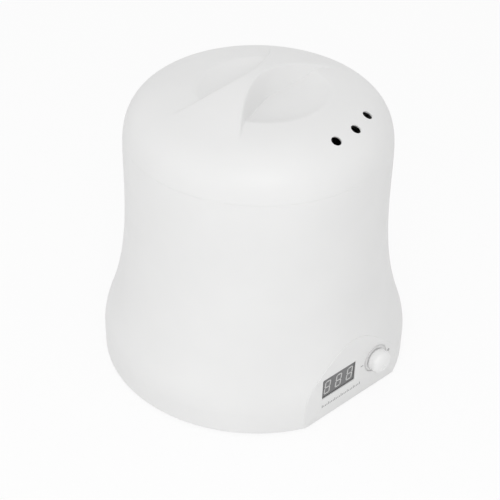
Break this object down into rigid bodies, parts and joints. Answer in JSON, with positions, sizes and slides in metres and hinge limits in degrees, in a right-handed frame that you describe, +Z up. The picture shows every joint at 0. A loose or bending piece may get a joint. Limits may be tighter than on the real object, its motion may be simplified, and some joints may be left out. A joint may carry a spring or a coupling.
{
  "type": "electric wax heater",
  "caption": "Bell-shaped table-top wax heater with a domed lid, raised grip, front control panel with display and dial, and a lift-out pot in a heated well.",
  "frame": {"origin": "centre of the base on the surface that the heater stands on", "axes": "+Z up along the axis of pot and lid, control panel towards -Y, +X to the right when facing the panel"},
  "size_m": [0.198, 0.198, 0.196],
  "materials": {
    "white_plastic": "semi-gloss moulded white",
    "white_knob": "smooth gloss white",
    "dark_window": "smoked, clear gloss",
    "black_plastic": "satin",
    "blue_plastic": "moulded",
    "green_plastic": "moulded",
    "circuit_board": "solder mask",
    "aluminium": "spun, satin",
    "well_aluminium": "drawn, satin",
    "heater_steel": "mica band in a thin steel sheath",
    "steel": "zinc plated",
    "brass": "plain",
    "glass_wool": "felted",
    "silicone": "silicone sheet",
    "lead_sleeve": "insulated wire",
    "foot_rubber": "soft matt"
  },
  "bodies": {
    "housing": {"housing": "white_plastic", "display_window": "dark_window", "display_module": "black_plastic", "dial_control": "black_plastic", "dial_nut": "steel", "front_board": "circuit_board", "front_board_screws": "steel", "heating_well": "well_aluminium", "well_gasket": "silicone", "well_screws": "steel", "heater_band": "heater_steel", "band_clamp": "steel", "insulation_sleeve": "glass_wool", "temperature_probe": "brass", "thermal_cutout": "black_plastic", "sensor_screws": "steel", "power_board": "circuit_board", "power_board_screws": "steel", "relay": "blue_plastic", "triac_heat_sink": "aluminium", "capacitor": "blue_plastic", "terminal_block": "green_plastic", "mains_leads": "lead_sleeve", "heater_leads": "lead_sleeve", "sensor_leads": "lead_sleeve", "front_ribbon": "lead_sleeve", "mains_inlet": "black_plastic", "inlet_pins": "steel", "inlet_screws": "steel", "base_plate": "white_plastic", "base_screws": "steel", "rubber_feet": "foot_rubber"},
    "knob": {"control_knob": "white_knob", "dial_shaft": "steel"},
    "pot": {"wax_pot": "aluminium"},
    "bail": {"pot_bail": "steel", "bail_grip": "black_plastic"},
    "lid": {"lid": "white_plastic"}
  },
  "joints": [
    {"name": "pot_lift", "type": "slide", "parent": "housing", "child": "pot", "axis": [0, 0, 1], "range_m": [0, 0.11]},
    {"name": "lid_lift", "type": "slide", "parent": "pot", "child": "lid", "axis": [0, 0, 1], "range_m": [0, 0.12]},
    {"name": "bail_swing", "type": "hinge", "parent": "pot", "child": "bail", "pos_m": [0, 0, 0.1419], "axis": [1, 0, 0], "range_deg": [0, 180]},
    {"name": "knob_turn", "type": "hinge", "parent": "housing", "child": "knob", "pos_m": [0.021, -0.09, 0.0238], "axis": [0, 1, 0], "range_deg": [0, 280]}
  ]
}
